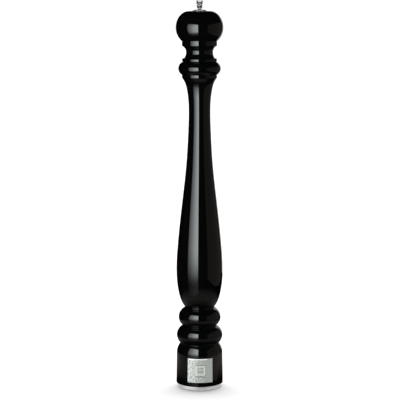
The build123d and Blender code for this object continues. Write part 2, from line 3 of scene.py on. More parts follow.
import bpy
import numpy as np
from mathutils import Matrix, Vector


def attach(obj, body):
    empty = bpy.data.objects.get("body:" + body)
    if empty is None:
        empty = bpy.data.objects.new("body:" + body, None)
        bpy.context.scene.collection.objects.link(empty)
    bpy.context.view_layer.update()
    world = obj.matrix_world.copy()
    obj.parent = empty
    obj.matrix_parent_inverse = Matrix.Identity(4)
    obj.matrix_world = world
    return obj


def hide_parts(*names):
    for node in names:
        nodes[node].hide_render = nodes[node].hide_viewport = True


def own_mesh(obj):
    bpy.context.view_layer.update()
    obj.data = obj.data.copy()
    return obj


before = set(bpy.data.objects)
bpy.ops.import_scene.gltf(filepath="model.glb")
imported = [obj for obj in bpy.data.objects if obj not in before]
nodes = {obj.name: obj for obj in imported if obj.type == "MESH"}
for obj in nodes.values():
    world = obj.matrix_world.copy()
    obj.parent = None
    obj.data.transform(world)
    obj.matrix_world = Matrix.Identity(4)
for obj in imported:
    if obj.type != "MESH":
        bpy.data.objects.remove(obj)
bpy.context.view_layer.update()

# A tall turned pepper mill in black lacquer. Sizes of turned pieces are in millimetres, as the
# turner reads them off, and become metres when they are drawn. The mill's axis is the Z axis.
MM = 0.001
FULL_TURN = 2 * pi


# ---- Drawing turned outlines ---------------------------------------------------------------

def arc(upright, end, steps=18):
    """Points on the circle that stands upright at one point and passes through another."""
    across = upright[0] - end[0]
    along = end[1] - upright[1]
    radius = (across ** 2 + along ** 2) / (2 * across)
    reach = atan2(along / radius, (radius - across) / radius)
    centre = upright[0] - radius
    turns = [reach * step / steps for step in range(steps + 1)]
    return [(centre + radius * cos(turn), upright[1] + radius * sin(turn)) for turn in turns]


def rounded(corner, radius, first, last, steps=6):
    """A small rounding about a centre, from one angle to another, in degrees."""
    points = []
    for step in range(steps + 1):
        angle = radians(first + (last - first) * step / steps)
        points.append((corner[0] + radius * cos(angle), corner[1] + radius * sin(angle)))
    return points


def flowing(points, first_slope, last_slope, steps=12):
    """A smooth curve through points that rise in height, with its slope given at both ends."""
    radius = np.array([point[0] for point in points])
    height = np.array([point[1] for point in points])
    gap = np.diff(height)
    rate = np.diff(radius) / gap
    count = len(points)
    system = np.zeros((count, count))
    wanted = np.zeros(count)
    system[0, 0] = system[-1, -1] = 1
    wanted[0], wanted[-1] = first_slope, last_slope
    for i in range(1, count - 1):
        system[i, i - 1] = 1 / gap[i - 1]
        system[i, i] = 2 / gap[i - 1] + 2 / gap[i]
        system[i, i + 1] = 1 / gap[i]
        wanted[i] = 3 * (rate[i - 1] / gap[i - 1] + rate[i] / gap[i])
    slope = np.linalg.solve(system, wanted)
    drawn = []
    for i in range(count - 1):
        for step in range(steps):
            t = step / steps
            drawn.append((
                radius[i] * (1 + 2 * t) * (1 - t) ** 2 + radius[i + 1] * t * t * (3 - 2 * t)
                + gap[i] * (slope[i] * t * (1 - t) ** 2 - slope[i + 1] * t * t * (1 - t)),
                height[i] + gap[i] * t,
            ))
    drawn.append((radius[-1], height[-1]))
    return drawn


# ---- Modelling -----------------------------------------------------------------------------

def begin(name, primitive, **settings):
    """Adds a primitive as a new piece, the only thing selected, and opens it for editing."""
    bpy.ops.object.select_all(action="DESELECT")
    primitive(**settings)
    piece = bpy.context.active_object
    piece.name = name
    piece.data.name = name
    bpy.ops.object.mode_set(mode="EDIT")
    return piece


def close(piece, crease=35):
    """Leaves edit mode, puts the piece's place in its mesh, and smooths all but its arrises."""
    bpy.ops.object.mode_set(mode="OBJECT")
    bpy.ops.object.transform_apply(location=True, rotation=True, scale=True)
    bpy.ops.object.shade_smooth_by_angle(angle=radians(crease))
    return piece


def draw_line(outline, closed):
    """Draws the outline from one vertex, an edge at a time, in the half plane beside the axis."""
    bpy.ops.mesh.merge(type="CENTER")
    place = Vector((outline[0][0] * MM, 0, outline[0][1] * MM))
    bpy.ops.transform.translate(value=place)
    for radius, height in outline[1:]:
        target = Vector((radius * MM, 0, height * MM))
        bpy.ops.mesh.extrude_vertices_move(TRANSFORM_OT_translate={"value": target - place})
        place = target
    bpy.ops.mesh.select_all(action="SELECT")
    if closed:
        bpy.ops.mesh.select_all(action="DESELECT")
        bpy.ops.object.mode_set(mode="OBJECT")
        vertices = bpy.context.active_object.data.vertices
        vertices[0].select = vertices[len(vertices) - 1].select = True
        bpy.ops.object.mode_set(mode="EDIT")
        bpy.ops.mesh.edge_face_add()
        bpy.ops.mesh.select_all(action="SELECT")


def turned(name, outline, closed=False, steps=128, crease=35):
    """A turned piece: its outline, spun once round the mill's axis."""
    piece = begin(name, bpy.ops.mesh.primitive_plane_add, size=2 * MM)
    draw_line(outline, closed)
    bpy.ops.mesh.spin(steps=steps, angle=FULL_TURN, center=(0, 0, 0), axis=(0, 0, 1))
    bpy.ops.mesh.select_all(action="SELECT")
    bpy.ops.mesh.remove_doubles(threshold=0.002 * MM)
    bpy.ops.mesh.normals_make_consistent(inside=False)
    return close(piece, crease)


def finish_as(piece, materials, choose=None):
    """Gives a piece its materials, face by face where choose says which."""
    piece.data.materials.clear()
    for material in materials:
        piece.data.materials.append(material)
    for face in piece.data.polygons:
        face.material_index = choose(face.center / MM, face.normal) if choose else 0


# ---- Material building ---------------------------------------------------------------------

def new_material(name, **sockets):
    """A principled material with these values on the shader's own sockets."""
    material = bpy.data.materials.new(name)
    material.use_nodes = True
    shader = material.node_tree.nodes["Principled BSDF"]
    for socket, value in sockets.items():
        shader.inputs[socket.replace("_", " ")].default_value = value
    return material


def add(material, kind, inputs=None, **settings):
    """Adds a node. An input that is another node's output is linked, any other is set."""
    node = material.node_tree.nodes.new("ShaderNode" + kind)
    for name, value in settings.items():
        setattr(node, name, value)
    for name, value in (inputs or {}).items():
        if isinstance(value, bpy.types.NodeSocket):
            material.node_tree.links.new(value, node.inputs[name])
        else:
            node.inputs[name].default_value = value
    return node


def drive(material, socket, output):
    """Links an output to one of the shader's sockets."""
    shader = material.node_tree.nodes["Principled BSDF"]
    material.node_tree.links.new(output, shader.inputs[socket])


def object_space(material, scale=(1, 1, 1)):
    """The piece's own coordinates in metres, stretched by a scale."""
    place = add(material, "TexCoord").outputs["Object"]
    return add(material, "Mapping", {"Vector": place, "Scale": scale}).outputs["Vector"]


def noise(material, vector, scale, detail=4.0, roughness=0.5):
    settings = {"Vector": vector, "Scale": scale, "Detail": detail, "Roughness": roughness}
    return add(material, "TexNoise", settings).outputs["Fac"]


def ramp(material, factor, *stops):
    """A colour ramp of (position, colour) stops. A number stands for a grey."""
    node = add(material, "ValToRGB", {"Fac": factor})
    band = node.color_ramp
    while len(band.elements) < len(stops):
        band.elements.new(0.5)
    for element, (position, colour) in zip(band.elements, stops):
        element.position = position
        grey = isinstance(colour, (int, float))
        element.color = (colour, colour, colour, 1) if grey else (*colour, 1)
    return node.outputs["Color"]


def math_node(material, operation, first, second=0.0, third=0.0):
    inputs = {0: first, 1: second, 2: third}
    return add(material, "Math", inputs, operation=operation).outputs[0]


def layer(material, below, above, mask=None, kind="MIX", amount=1.0):
    """Lays one colour over another, where a mask says, or by the same amount everywhere."""
    mix = add(material, "Mix", data_type="RGBA", blend_type=kind)
    if mask is None:
        mix.inputs[0].default_value = amount
    else:
        material.node_tree.links.new(mask, mix.inputs[0])
    for value, socket in ((below, 6), (above, 7)):
        if isinstance(value, tuple):
            mix.inputs[socket].default_value = (*value, 1)
        else:
            material.node_tree.links.new(value, mix.inputs[socket])
    return mix.outputs[2]


def bump(material, height, strength, distance, under=None):
    inputs = {"Height": height, "Strength": strength, "Distance": distance}
    if under is not None:
        inputs["Normal"] = under
    return add(material, "Bump", inputs).outputs["Normal"]


# ---- Materials -----------------------------------------------------------------------------

def make_lacquer():
    """Deep black gloss lacquer: a hard flat coat, with the faintest unevenness and polish marks."""
    material = new_material(
        "black_lacquer", Base_Color=(0.0009, 0.0009, 0.0010, 1), Roughness=0.03, IOR=1.5
    )
    place = object_space(material)
    turned_round = object_space(material, (1, 1, 6))
    polish = noise(material, turned_round, 90, 6, 0.65)
    drive(material, "Roughness", ramp(material, polish, (0.3, 0.022), (0.75, 0.05)))
    settling = noise(material, place, 16, 2, 0.4)
    fine = noise(material, place, 700, 2, 0.5)
    flow = bump(material, settling, 0.05, 0.0006)
    drive(material, "Normal", bump(material, fine, 0.012, 0.00004, flow))
    return material


def make_beech():
    """Bare turned beech: pale pinkish wood with long grain, short dark flecks and tool rings."""
    material = new_material("bare_beech", Roughness=0.6, IOR=1.45)
    long_grain = object_space(material, (1, 1, 0.06))
    grain = noise(material, long_grain, 260, 8, 0.6)
    year_rings = object_space(material, (1, 0.35, 0.03))
    growth = add(
        material, "TexWave",
        {"Vector": year_rings, "Scale": 38, "Distortion": 6, "Detail": 3},
    ).outputs["Fac"]
    mixed = math_node(material, "MULTIPLY_ADD", growth, 0.45, grain)
    tone = ramp(
        material, mixed,
        (0.35, (0.37, 0.22, 0.12)), (0.62, (0.49, 0.32, 0.19)), (0.95, (0.56, 0.40, 0.26)),
    )
    flecks = add(
        material, "TexVoronoi", {"Vector": object_space(material, (1, 1, 0.22)), "Scale": 900}
    ).outputs["Distance"]
    fleck = ramp(material, flecks, (0.10, (0.42, 0.24, 0.13)), (0.26, (1, 1, 1)))
    drive(material, "Base Color", layer(material, tone, fleck, kind="MULTIPLY", amount=0.75))
    drive(material, "Roughness", ramp(material, grain, (0.3, 0.48), (0.8, 0.72)))
    tool_rings = add(
        material, "TexWave", {"Vector": object_space(material), "Scale": 260, "Distortion": 0.6},
        bands_direction="Z",
    ).outputs["Fac"]
    turned_face = bump(material, tool_rings, 0.08, 0.00006)
    drive(material, "Normal", bump(material, grain, 0.25, 0.0001, turned_face))
    return material


def make_chrome():
    """Polished metal with the hair-fine rings and smears of handling."""
    material = new_material(
        "polished_metal", Base_Color=(0.80, 0.80, 0.82, 1), Metallic=1.0, Roughness=0.06
    )
    rings = noise(material, object_space(material, (1, 1, 40)), 120, 3, 0.6)
    smears = noise(material, object_space(material), 220, 5, 0.6)
    drive(material, "Roughness", ramp(material, smears, (0.35, 0.035), (0.8, 0.12)))
    tone = ramp(material, smears, (0.2, (0.70, 0.70, 0.72)), (0.8, (0.84, 0.84, 0.86)))
    drive(material, "Base Color", tone)
    drive(material, "Normal", bump(material, rings, 0.02, 0.00003))
    return material


def make_satin_metal(name, light, dark, rough, ring_scale, strength):
    """Metal finished by turning or brushing: fine lines, and a slightly cloudy tone."""
    material = new_material(name, Metallic=1.0, Roughness=rough)
    lines = noise(material, object_space(material, ring_scale), 60, 5, 0.7)
    cloud = noise(material, object_space(material), 90, 4, 0.55)
    drive(material, "Base Color", ramp(material, cloud, (0.25, dark), (0.75, light)))
    drive(material, "Roughness", ramp(material, lines, (0.2, rough * 0.75), (0.8, rough * 1.3)))
    drive(material, "Normal", bump(material, lines, strength, 0.00004))
    return material


def make_moulded(name, light, dark, rough):
    """Moulded plastic: a fine spark-eroded grain and a faintly uneven tone."""
    material = new_material(name, Roughness=rough, IOR=1.48)
    cloud = noise(material, object_space(material), 60, 4, 0.6)
    grain = noise(material, object_space(material), 2600, 2, 0.5)
    drive(material, "Base Color", ramp(material, cloud, (0.3, dark), (0.7, light)))
    drive(material, "Roughness", ramp(material, grain, (0.3, rough * 0.85), (0.8, rough * 1.15)))
    drive(material, "Normal", bump(material, grain, 0.18, 0.00005))
    return material


PEBBLE_SCALE = 0.26          # pebbles of the print, per mm
PEBBLE_SPREAD = 0.9
FRAME_MIDDLE = (0.4, 0.4)    # mm from the label's middle, rightwards and upwards
FRAME_OUTER = (9.2, 9.3)     # half its width and height
FRAME_INNER = (7.8, 7.9)


def make_foil():
    """The foil label: silver with a pebbled print, a pale frame, and plain bars and dots. It is
    laid out in mm from the label's middle."""
    material = new_material("label_foil", Metallic=0.6, Roughness=0.42)
    flat = add(material, "UVMap", uv_map="LabelMap").outputs["UV"]
    parts = add(material, "SeparateXYZ", {"Vector": flat})
    across, up = parts.outputs["X"], parts.outputs["Y"]

    def within(value, centre, half, soft=0.15):
        """1 inside a stretch of the label, and 0 outside it."""
        off = math_node(material, "ABSOLUTE", math_node(material, "SUBTRACT", value, centre))
        past_edge = math_node(material, "SUBTRACT", off, half - soft)
        return ramp(material, math_node(material, "DIVIDE", past_edge, 2 * soft), (0.0, 1.0), (1.0, 0.0))

    def patch(x, y, half_x, half_y):
        return math_node(material, "MULTIPLY", within(across, x, half_x), within(up, y, half_y))

    def either(*masks):
        whole = masks[0]
        for mask in masks[1:]:
            whole = math_node(material, "MAXIMUM", whole, mask)
        return whole

    def without(mask, hole):
        return math_node(material, "MULTIPLY", mask, math_node(material, "SUBTRACT", 1.0, hole))

    def pebbles(feature):
        return add(
            material, "TexVoronoi",
            {"Vector": flat, "Scale": PEBBLE_SCALE, "Randomness": PEBBLE_SPREAD},
            feature=feature, voronoi_dimensions="2D",
        ).outputs["Distance"]

    stones = pebbles("F1")
    seams = pebbles("DISTANCE_TO_EDGE")
    wrinkles = add(
        material, "TexNoise", {"Vector": flat, "Scale": 0.34, "Detail": 5.0}, noise_dimensions="2D"
    ).outputs["Fac"]
    print_tone = ramp(material, stones, (0.15, (0.78, 0.80, 0.77)), (0.8, (0.40, 0.44, 0.41)))
    cloudy = ramp(material, wrinkles, (0.35, (0.56, 0.60, 0.57)), (0.6, (1.0, 1.0, 0.98)))

    window = patch(*FRAME_MIDDLE, *FRAME_OUTER)
    field = patch(*FRAME_MIDDLE, *FRAME_INNER)
    border = without(window, field)
    dots = either(patch(-3.2, 4.6, 1.0, 0.9), patch(3.9, 4.6, 1.8, 0.9))
    panel = patch(0.4, -2.0, 6.0, 2.0)
    marks_above = [patch(-9.6 + 3.4 * i, 11.4 + 0.5 * (i % 2), 1.3, 0.75) for i in range(7)]
    marks_below = [patch(-7.6 + 4.2 * i, -12.4 - 1.6 * (i % 2), 1.6, 0.8) for i in range(4)]
    top_edge = patch(-5.0, 23.7, 20.0, 1.0)

    # towards the right the label turns greyer and darker, and its left is palest
    right_greying = ramp(
        material, math_node(material, "MULTIPLY_ADD", across, 0.1, -0.42), (0.2, 0.0), (0.75, 1.0)
    )
    side = ramp(
        material, math_node(material, "MULTIPLY_ADD", across, 0.018, 0.5),
        (0.0, 1.0), (0.5, 0.84), (1.0, 0.72),
    )
    colour = layer(material, print_tone, cloudy, kind="MULTIPLY", amount=0.55)
    colour = layer(material, colour, (0.50, 0.53, 0.50), right_greying)
    colour = layer(material, colour, side, kind="MULTIPLY")
    colour = layer(material, colour, (0.50, 0.56, 0.52), field)
    colour = layer(material, colour, (0.83, 0.86, 0.82), border)
    colour = layer(material, colour, (0.16, 0.18, 0.16), dots)
    colour = layer(material, colour, (0.36, 0.40, 0.37), panel)
    colour = layer(material, colour, (0.20, 0.22, 0.20), either(*marks_above, *marks_below))
    colour = layer(material, colour, (1.0, 1.0, 0.98), top_edge)
    drive(material, "Base Color", colour)
    drive(material, "Roughness", ramp(material, wrinkles, (0.3, 0.26), (0.8, 0.46)))

    # the print is embossed, except inside the frame, and the frame stands up a little
    relief = without(ramp(material, seams, (0.0, 0.0), (0.28, 1.0)), window)
    raised = math_node(material, "ADD", relief, math_node(material, "MULTIPLY", border, 1.2))
    creased = bump(material, wrinkles, 0.25, 0.0001)
    drive(material, "Normal", bump(material, raised, 0.55, 0.00018, creased))
    return material


lacquer = make_lacquer()
beech = make_beech()
chrome = make_chrome()
foil = make_foil()
aluminium = make_satin_metal(
    "satin_aluminium", (0.74, 0.75, 0.75), (0.64, 0.65, 0.65), 0.36, (1, 1, 30), 0.2
)
bright_steel = make_satin_metal(
    "drawn_steel", (0.62, 0.63, 0.65), (0.48, 0.49, 0.51), 0.3, (20, 20, 0.6), 0.3
)
grinder_steel = make_satin_metal(
    "hardened_steel", (0.42, 0.43, 0.44), (0.26, 0.27, 0.28), 0.38, (4, 4, 4), 0.4
)
zinc = make_satin_metal("zinc_plate", (0.68, 0.69, 0.66), (0.50, 0.51, 0.49), 0.32, (6, 6, 6), 0.25)
brass = make_satin_metal("turned_brass", (0.80, 0.58, 0.26), (0.62, 0.43, 0.18), 0.28, (1, 1, 30), 0.25)
spring_wire = make_satin_metal(
    "spring_wire", (0.46, 0.47, 0.50), (0.30, 0.31, 0.34), 0.3, (8, 8, 8), 0.25
)
black_plastic = make_moulded("black_plastic", (0.030, 0.030, 0.032), (0.020, 0.020, 0.021), 0.5)
white_plastic = make_moulded("white_plastic", (0.80, 0.79, 0.75), (0.72, 0.71, 0.66), 0.42)


# ---- Camera, light and floor ---------------------------------------------------------------

CAMERA_PLACE = (0.0008, -3.1, 0.7975)
CAMERA_DIP = 7.47           # degrees below level
CAMERA_LENS = 136.73        # mm, on a 36 mm sensor


def set_camera():
    camera_data = bpy.data.cameras.new("camera")
    camera_data.lens = CAMERA_LENS
    camera_data.sensor_width = 36
    camera = bpy.data.objects.new("camera", camera_data)
    camera.location = CAMERA_PLACE
    camera.rotation_euler = (radians(90 - CAMERA_DIP), 0, 0)
    bpy.context.scene.collection.objects.link(camera)
    bpy.context.scene.camera = camera


def set_panel(name, azimuth, distance, middle_z, width, height, radiance, tilt=0.0, tint=(1, 1, 1)):
    """A flat rectangular light that faces the mill. Azimuth is in degrees, 0 in front of the mill
    and rising towards its left. Tilt is 0 for an upright panel, 90 for one that faces down and
    -90 for one that faces up. Radiance is what a mirror would show of it."""
    light_data = bpy.data.lights.new(name, "AREA")
    light_data.shape = "RECTANGLE"
    light_data.size = width
    light_data.size_y = height
    light_data.energy = radiance * pi * width * height
    light_data.color = tint
    light = bpy.data.objects.new(name, light_data)
    turn = radians(azimuth)
    light.location = (-distance * sin(turn), -distance * cos(turn), middle_z)
    light.rotation_euler = (radians(90 - tilt), 0, -turn)
    light.visible_camera = False
    bpy.context.scene.collection.objects.link(light)
    return light


def grade(tree, factor, stops):
    """A ramp of (place, grey) stops in a light's own node tree."""
    shade = tree.nodes.new("ShaderNodeValToRGB")
    band = shade.color_ramp
    while len(band.elements) < len(stops):
        band.elements.new(0.5)
    for element, (position, grey) in zip(band.elements, stops):
        element.position = position
        element.color = (grey, grey, grey, 1)
    tree.links.new(factor, shade.inputs[0])
    return shade.outputs[0]


def grade_panel(light, across, upwards):
    """Shades a panel across its width and up its height."""
    light.data.use_nodes = True
    tree = light.data.node_tree
    place = tree.nodes.new("ShaderNodeNewGeometry").outputs["Parametric"]
    split = tree.nodes.new("ShaderNodeSeparateXYZ")
    tree.links.new(place, split.inputs[0])
    product = tree.nodes.new("ShaderNodeMath")
    product.operation = "MULTIPLY"
    tree.links.new(grade(tree, split.outputs["X"], across), product.inputs[0])
    tree.links.new(grade(tree, split.outputs["Y"], upwards), product.inputs[1])
    tree.links.new(product.outputs[0], tree.nodes["Emission"].inputs["Strength"])


def grade_round(light, outwards):
    """Shades a panel from its middle outwards. The middle of an edge is at 0.5."""
    light.data.use_nodes = True
    tree = light.data.node_tree
    place = tree.nodes.new("ShaderNodeNewGeometry").outputs["Parametric"]
    reach = tree.nodes.new("ShaderNodeVectorMath")
    reach.operation = "DISTANCE"
    reach.inputs[1].default_value = (0.5, 0.5, 0.0)
    tree.links.new(place, reach.inputs[0])
    shade = grade(tree, reach.outputs["Value"], outwards)
    tree.links.new(shade, tree.nodes["Emission"].inputs["Strength"])


ROOM_WHITE = 1.06


def set_world():
    """White all round for the eye and for matt surfaces, and dark in reflections."""
    world = bpy.data.worlds.new("studio")
    bpy.context.scene.world = world
    world.use_nodes = True
    tree = world.node_tree
    background = tree.nodes["Background"]
    background.inputs["Color"].default_value = (ROOM_WHITE, ROOM_WHITE, ROOM_WHITE, 1)
    rays = tree.nodes.new("ShaderNodeLightPath")
    shade = tree.nodes.new("ShaderNodeMath")
    shade.operation = "SUBTRACT"
    shade.inputs[0].default_value = 1.0
    tree.links.new(rays.outputs["Is Glossy Ray"], shade.inputs[1])
    tree.links.new(shade.outputs[0], background.inputs["Strength"])


FLOOR_SIZE = 60
FLOOR_DROP = 0.0002         # metres under the mill, so that no two faces coincide


def set_floor():
    bpy.ops.object.select_all(action="DESELECT")
    bpy.ops.mesh.primitive_plane_add(size=FLOOR_SIZE, location=(0, 0, -FLOOR_DROP))
    floor = bpy.context.active_object
    floor.name = "floor"
    paper = new_material(
        "studio_paper", Base_Color=(0.5, 0.5, 0.5, 1), Roughness=0.9, Specular_IOR_Level=0.0
    )
    finish_as(floor, [paper])
    floor.visible_glossy = False
    floor.visible_shadow = False


def set_floor_light():
    """A broad soft light from high behind the mill, which throws its shadow forwards."""
    light_data = bpy.data.lights.new("floor_light", "SUN")
    light_data.energy = 6.6
    light_data.angle = radians(100)
    light = bpy.data.objects.new("floor_light", light_data)
    light.rotation_euler = (radians(-45), 0, 0)
    bpy.context.scene.collection.objects.link(light)
    return light


bpy.context.scene.view_settings.view_transform = "Standard"
set_camera()
set_world()
set_floor()

# what the lacquer mirrors: a softbox that fades towards its foot and its outer side, and two
# dimmer panels at its right and behind it
COOL = (0.93, 1.0, 1.01)
WARM = (1.0, 0.9, 0.8)
softbox = set_panel("softbox", 33.9, 1.1, 0.285, 1.10, 1.65, 8.0, tint=COOL)
grade_panel(
    softbox,
    across=((0.0, 0.16), (0.35, 0.45), (0.7, 0.85), (1.0, 1.0)),
    upwards=(
        (0.0, 0.03), (0.12, 0.05), (0.2, 0.06), (0.26, 0.12), (0.36, 0.42), (0.43, 0.72), (0.5, 1.0),
        (0.86, 1.0), (1.0, 0.6),
    ),
)
lacquer_lights = [
    softbox,
    set_panel("reflector", -85, 1.6, 0.45, 3.2, 1.6, 0.15, tint=WARM),
    set_panel("back_panel", -165, 1.8, 0.6, 1.3, 1.4, 0.8),
]

# what the low, upright parts of the body mirror of the pale floor round the mill
floor_glow = set_panel("floor_glow", 0, 0.0, 0.0005, 1.2, 1.2, 0.2, tilt=-90, tint=(1.0, 0.98, 0.9))
grade_round(floor_glow, outwards=((0.095, 0.0), (0.16, 0.6), (0.22, 1.0), (0.3, 0.8), (0.42, 0.0)))

metal_lights = [
    set_panel("metal_left", 55, 1.5, 0.6, 2.2, 1.7, 1.25),
    set_panel("metal_right", -65, 1.5, 0.6, 1.6, 1.7, 0.45),
    set_panel("metal_floor", 0, 0.6, -0.3, 4.5, 4.5, 0.72, tilt=-90),
]
rim_lights = [
    set_panel("metal_back_left", 130, 1.5, 0.7, 2.2, 1.6, 1.1),
    set_panel("metal_back_right", -130, 1.5, 0.7, 2.2, 1.6, 1.1),
]
knob_lights = [
    set_panel("knob_top", 0, 0.3, 2.0, 2.4, 2.4, 1.2, tilt=90),
    set_panel("knob_front", 0, 1.5, 0.8, 4.0, 2.4, 0.22),
]


def light_only(lights, pieces):
    """Keeps lights off everything but these pieces."""
    lit = bpy.data.collections.new("lit_by_" + lights[0].name)
    for piece in pieces:
        lit.objects.link(piece)
    for light in lights:
        light.light_linking.receiver_collection = lit


# ---- Turned wood ---------------------------------------------------------------------------

UNDERSIDE_Z = 8.5
FOOT_R = 48.35
ARRIS = 1.0                  # the foot's rounded lower edge
DRUM_TOP = (47.4, 71.0)      # radius and height, where the drum's side turns in
LOW_BEAD = (47.3, 109.3)
HIGH_BEAD = (43.4, 146.9)
BELLY = (47.8, 246.5)
NECK = (22.2, 573)
BODY_BEAD = (43.5, 660.9)
SEAT_Z = 674.3               # where the head sits on the body

CREASE_R = 40.0              # either side of the groove over the drum
HIGH_CREASE_R = 34.8
TOP_CREASE_R = 30.6
COLLAR_R = 35.9

FOOT_BORE_R = 39.2
HOUSING_R = 30.5
HOUSING_FLOOR_Z = 25
CHAMBER_R = 15.0
CHAMBER_FLOOR_Z = 72
SOCKET_R = 19.1              # takes the head's spigot
SOCKET_FLOOR_Z = 652

SPIGOT_R = 18.7
SPIGOT_Z = 656.3
HEAD_BORE_R = 5.5
RING_ROUNDING = 2.2
COVE = (27.5, 693.8)
BALL = (48.4, 743.8)
HEAD_TOP_Z = 777.2
CROWN_FLAT_R = 21
BARE_R = 32                  # the joint's faces are lacquered outside this


def body_outline():
    """The body's outside from foot to top, then its bores back down."""
    foot_z = UNDERSIDE_Z + ARRIS
    outside = [(FOOT_BORE_R, UNDERSIDE_Z)]
    outside += rounded((FOOT_R - ARRIS, foot_z), ARRIS, -90, 0)
    outside += [
        (FOOT_R + (DRUM_TOP[0] - FOOT_R) * step / 6, foot_z + (DRUM_TOP[1] - foot_z) * step / 6)
        for step in range(1, 6)
    ]
    outside += arc(DRUM_TOP, (CREASE_R, 92.0))
    outside += arc(LOW_BEAD, (CREASE_R, 92.8))[::-1] + arc(LOW_BEAD, (HIGH_CREASE_R, 128.8))[1:]
    outside += arc(HIGH_BEAD, (HIGH_CREASE_R, 130.0))[::-1]
    outside += arc(HIGH_BEAD, (TOP_CREASE_R, 166.8))[1:]
    outside += flowing(
        [(TOP_CREASE_R, 169.2), (36.3, 178.2), (43.2, 199.3), (46.6, 221.5), BELLY], 0.83, 0.0
    )
    outside += flowing([BELLY, (44.8, 302), (35.7, 387.5), (26.9, 470), (23.4, 530), NECK], 0, 0)[1:]
    outside += flowing([NECK, (23.5, 601.5), (26.5, 621), (30.9, 634.3), (35.4, 641.6)], 0, 0.66)[1:]
    outside += [(COLLAR_R, 642.4), (COLLAR_R, 645.3)]
    outside += arc(BODY_BEAD, (COLLAR_R, 648.2))[::-1] + arc(BODY_BEAD, (35.4, SEAT_Z))[1:]
    bores = [(BARE_R + 0.5, SEAT_Z), (SOCKET_R + 0.6, SEAT_Z), (SOCKET_R, SEAT_Z - 0.6)]
    bores += [(SOCKET_R, 663), (SOCKET_R, SOCKET_FLOOR_Z)]
    bores += [(CHAMBER_R, SOCKET_FLOOR_Z), (CHAMBER_R, CHAMBER_FLOOR_Z)]
    bores += [(HOUSING_R, CHAMBER_FLOOR_Z), (HOUSING_R, HOUSING_FLOOR_Z)]
    bores += [(FOOT_BORE_R, HOUSING_FLOOR_Z), (FOOT_BORE_R, 17)]
    return outside + bores


def head_outline():
    """The head's spigot, ring, cove, collar and ball, then the bore for the shaft."""
    ring_top_z = 681.9
    ring_core_r = 33.4
    collar_top_z = 716.8
    outline = [(HEAD_BORE_R, SPIGOT_Z), (12, SPIGOT_Z), (SPIGOT_R - 1, SPIGOT_Z)]
    outline += [(SPIGOT_R, SPIGOT_Z + 1), (SPIGOT_R, 666), (SPIGOT_R, SEAT_Z), (BARE_R + 0.5, SEAT_Z)]
    outline += rounded((ring_core_r, SEAT_Z + RING_ROUNDING), RING_ROUNDING, -90, 0)
    outline += rounded((ring_core_r, ring_top_z - RING_ROUNDING), RING_ROUNDING, 0, 90)
    outline += arc(COVE, (31.8, ring_top_z))[::-1] + arc(COVE, (32.6, 704.8))[1:]
    outline += [(33.8, 705.6), (35.0, 706.4), (35.6, 706.75), (COLLAR_R, 707.4)]
    outline += [(COLLAR_R, 712), (COLLAR_R, collar_top_z)]
    outline += arc(BALL, (36.9, collar_top_z), 30)[::-1]
    crown_r = BALL[0] - CROWN_FLAT_R
    crown_height = HEAD_TOP_Z - BALL[1]
    for step in range(1, 31):
        turn = radians(3 * step)
        outline.append((CROWN_FLAT_R + crown_r * cos(turn), BALL[1] + crown_height * sin(turn)))
    return outline + [(12, HEAD_TOP_Z), (HEAD_BORE_R, HEAD_TOP_Z), (HEAD_BORE_R, 740), (HEAD_BORE_R, 700)]


def is_bare_body(centre, normal):
    """1 for a face of bare wood: the bores, their shoulders and the foot's inner underside."""
    radius = Vector(centre[:2]).length
    inwards = normal.x * centre.x + normal.y * centre.y < -0.3 * radius
    in_socket = radius < SOCKET_R + 0.8
    in_foot = radius < FOOT_BORE_R + 0.8 and centre.z < CHAMBER_FLOOR_Z + 8
    in_bore = inwards and (in_socket or in_foot)
    under = normal.z < -0.9 and centre.z < UNDERSIDE_Z + 0.5 and radius < FOOT_R - ARRIS
    shoulder = abs(normal.z) > 0.9 and radius < BARE_R and not 640 < centre.z < 650
    return 1 if in_bore or under or shoulder else 0


def is_bare_head(centre, normal):
    """1 for a face of bare wood: the spigot, the head's underside and the bore."""
    radius = Vector(centre[:2]).length
    underside = centre.z < SEAT_Z + 0.2 and radius < BARE_R
    return 1 if radius < HEAD_BORE_R + 0.3 or underside else 0


mill_body = turned("turned_body", body_outline(), closed=True, steps=160)
finish_as(mill_body, [lacquer, beech], is_bare_body)
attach(mill_body, "body")
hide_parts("mill_body")

mill_head = turned("turned_head", head_outline(), closed=True, steps=160)
finish_as(mill_head, [lacquer, beech], is_bare_head)
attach(mill_head, "head")
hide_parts("head")


# ---- Knob and washer -----------------------------------------------------------------------

THREAD_R = 2.56
THREAD_TOP_Z = 795
BOWL = (7.1, 788.2)          # the widest of the knob's bowl
GROOVE_R = 5.4
KNOB_BALL = (8.2, 794.8)
KNOB_TOP_Z = 800


def knob_outline():
    """The knob's threaded hole, foot, bowl, groove and flattened ball."""
    outline = [(0, THREAD_TOP_Z), (THREAD_R, THREAD_TOP_Z), (THREAD_R, 781), (2.9, 780.4)]
    outline += [(4.2, 780.4), (4.2, 781.8)]
    outline += flowing([(4.9, 782.2), (6.2, 784.6), (6.85, 786.6), BOWL], 0.9, 0.0, 6)
    outline += arc(BOWL, (GROOVE_R, 790), 8)[1:]
    outline += [(GROOVE_R, 790.9)] + arc(KNOB_BALL, (GROOVE_R, 790.9), 10)[::-1][1:]
    ball_height = KNOB_TOP_Z - KNOB_BALL[1]
    for step in range(1, 12):
        turn = radians(7.5 * step)
        outline.append((KNOB_BALL[0] * cos(turn), KNOB_BALL[1] + ball_height * sin(turn)))
    return outline + [(0, KNOB_TOP_Z)]


knob = turned("ball_knob", knob_outline(), steps=96)
finish_as(knob, [chrome])
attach(knob, "knob")
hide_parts("knob")

